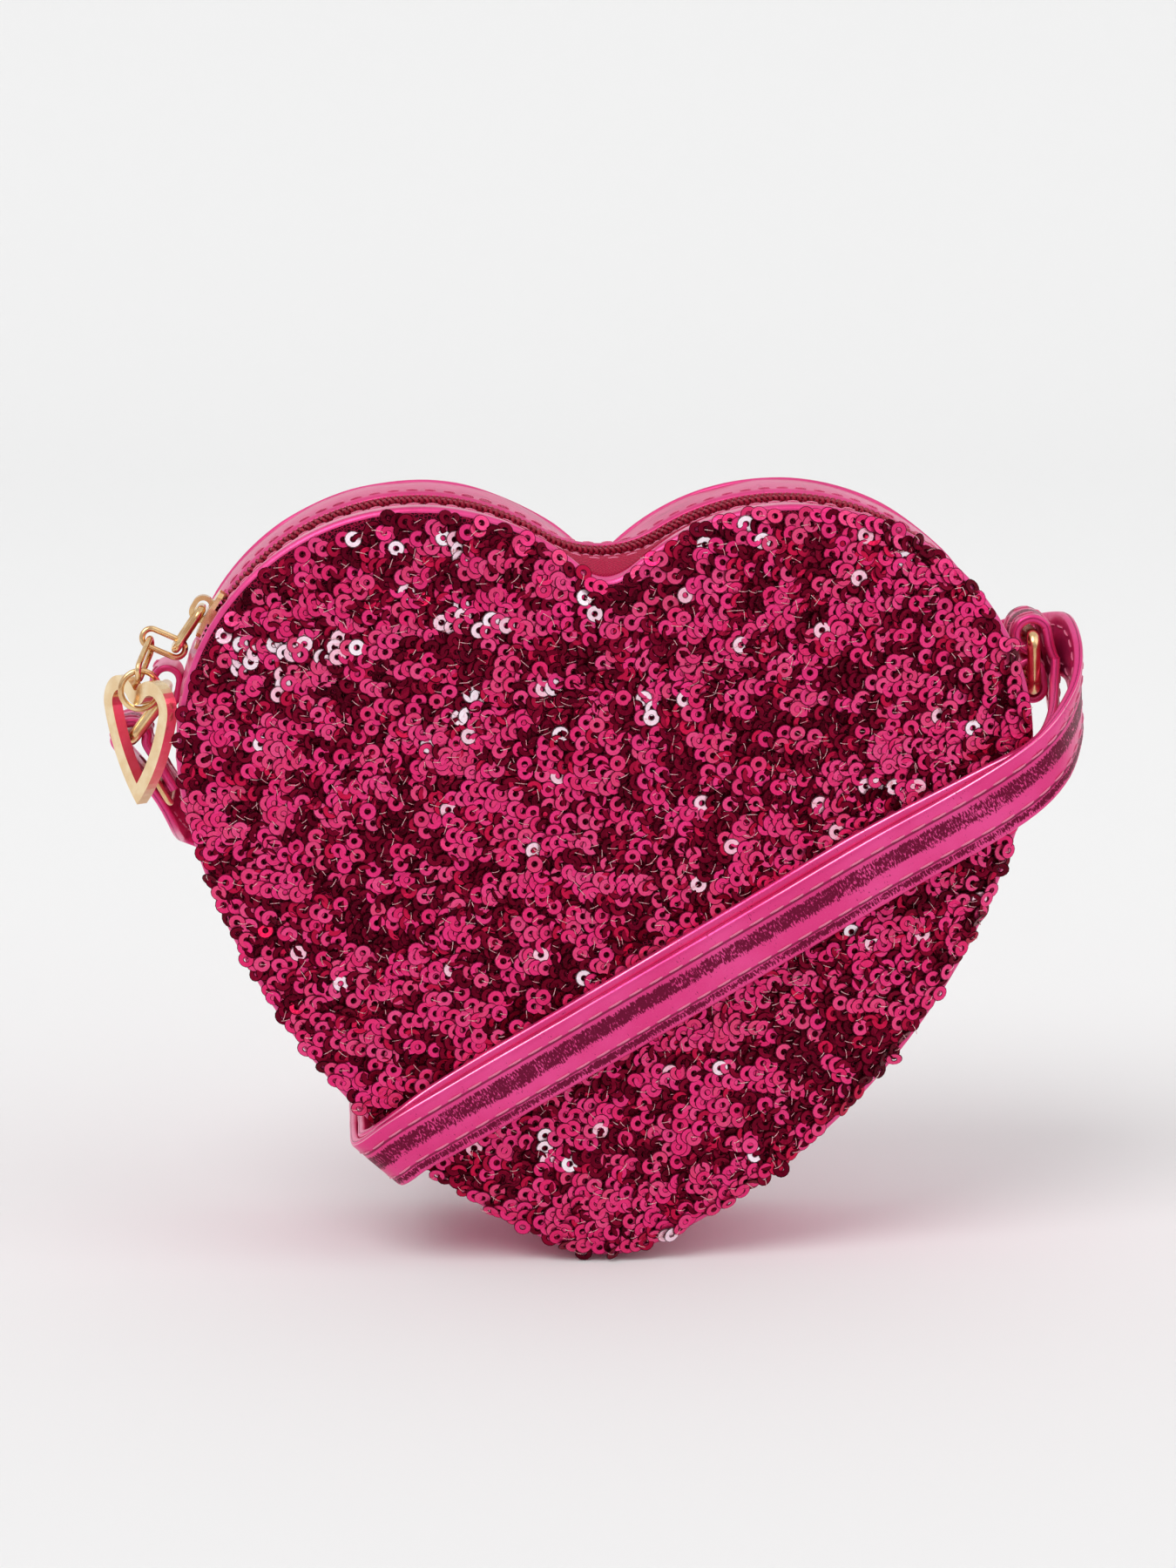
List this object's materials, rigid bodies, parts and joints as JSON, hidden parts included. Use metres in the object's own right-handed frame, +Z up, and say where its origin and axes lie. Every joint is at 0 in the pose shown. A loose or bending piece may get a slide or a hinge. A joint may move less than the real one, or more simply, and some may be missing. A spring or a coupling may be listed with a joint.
{
  "type": "heart shaped purse",
  "caption": "Heart shaped zip purse with a sequin front, side ring tabs, a long wrapped strap and a heart charm on its zip pull.",
  "frame": {"origin": "midway between the two strap tabs on the bag's middle plane, the point that hangs below the wearer's shoulder", "axes": "+X to the right seen from the front, -Y towards the sequin front, +Z up"},
  "size_m": [0.1791, 0.0566, 0.1386],
  "materials": {
    "sequins": "metallic pink ring sequins sewn to net",
    "pink_leather": "metallic pink coated leather cloth",
    "padding": "board and foam under pink cloth",
    "zip_cloth": "woven crimson zip tape",
    "zip_teeth": "moulded nylon",
    "gold_metal": "polished pale gold plating",
    "lining": "plain woven lining"
  },
  "bodies": {
    "bag": {"front_padding": "padding", "sequin_cloth": "sequins", "back_padding": "padding", "back_cover": "pink_leather", "gusset": "pink_leather", "lining_front": "lining", "lining_back": "lining", "lining_wall": "lining", "zip_facing_front": "pink_leather", "zip_facing_back": "pink_leather", "zip_tape_front": "zip_cloth", "zip_tape_back": "zip_cloth", "zip_coil_front": "zip_teeth", "zip_coil_back": "zip_teeth", "zip_stops": "gold_metal", "ring_tab_left": "pink_leather", "ring_tab_right": "pink_leather", "strap": "pink_leather", "strap_slide": "gold_metal"},
    "zip_slider": {"zip_slider": "gold_metal"},
    "pull_loop": {"pull_loop": "gold_metal"},
    "chain_link_upper": {"chain_link_upper": "gold_metal"},
    "chain_link_lower": {"chain_link_lower": "gold_metal"},
    "jump_ring": {"jump_ring": "gold_metal"},
    "heart_charm": {"heart_charm": "gold_metal"},
    "strap_ring_left": {"strap_ring_left": "gold_metal"},
    "strap_ring_right": {"strap_ring_right": "gold_metal"}
  },
  "joints": [
    {"name": "slider_travel", "type": "hinge", "parent": "bag", "child": "zip_slider", "pos_m": [-0.0335, 0, -0.006], "axis": [0, 1, 0], "range_deg": [0, 84]},
    {"name": "pull_swing", "type": "hinge", "parent": "zip_slider", "child": "pull_loop", "pos_m": [-0.0729, 0, 0.01675], "axis": [0, 1, 0], "range_deg": [0, 60]},
    {"name": "upper_link_swing", "type": "hinge", "parent": "pull_loop", "child": "chain_link_upper", "pos_m": [-0.07771, -0.0009, 0.00962], "axis": [0, 1, 0], "range_deg": [0, 40]},
    {"name": "lower_link_swing", "type": "hinge", "parent": "chain_link_upper", "child": "chain_link_lower", "pos_m": [-0.08242, -0.00149, 0.01002], "axis": [0.9744, 0.1052, -0.1988], "range_deg": [-4, 0]},
    {"name": "jump_ring_swing", "type": "hinge", "parent": "chain_link_lower", "child": "jump_ring", "pos_m": [-0.08429, -0.01009, 0.0062], "axis": [-0.0111, -0.4039, 0.9147], "range_deg": [-5, 0]},
    {"name": "charm_swing", "type": "hinge", "parent": "jump_ring", "child": "heart_charm", "pos_m": [-0.08402, -0.00884, -0.00025], "axis": [0.9826, 0.1857, 0], "range_deg": [-12, 0]},
    {"name": "left_ring_swivel", "type": "hinge", "parent": "bag", "child": "strap_ring_left", "pos_m": [-0.07993, 0.005, 0.00077], "axis": [0, 1, 0], "range_deg": [-3, 3]},
    {"name": "right_ring_swivel", "type": "hinge", "parent": "bag", "child": "strap_ring_right", "pos_m": [0.07993, 0.005, 0.00077], "axis": [0, 1, 0], "range_deg": [-3, 3]}
  ]
}
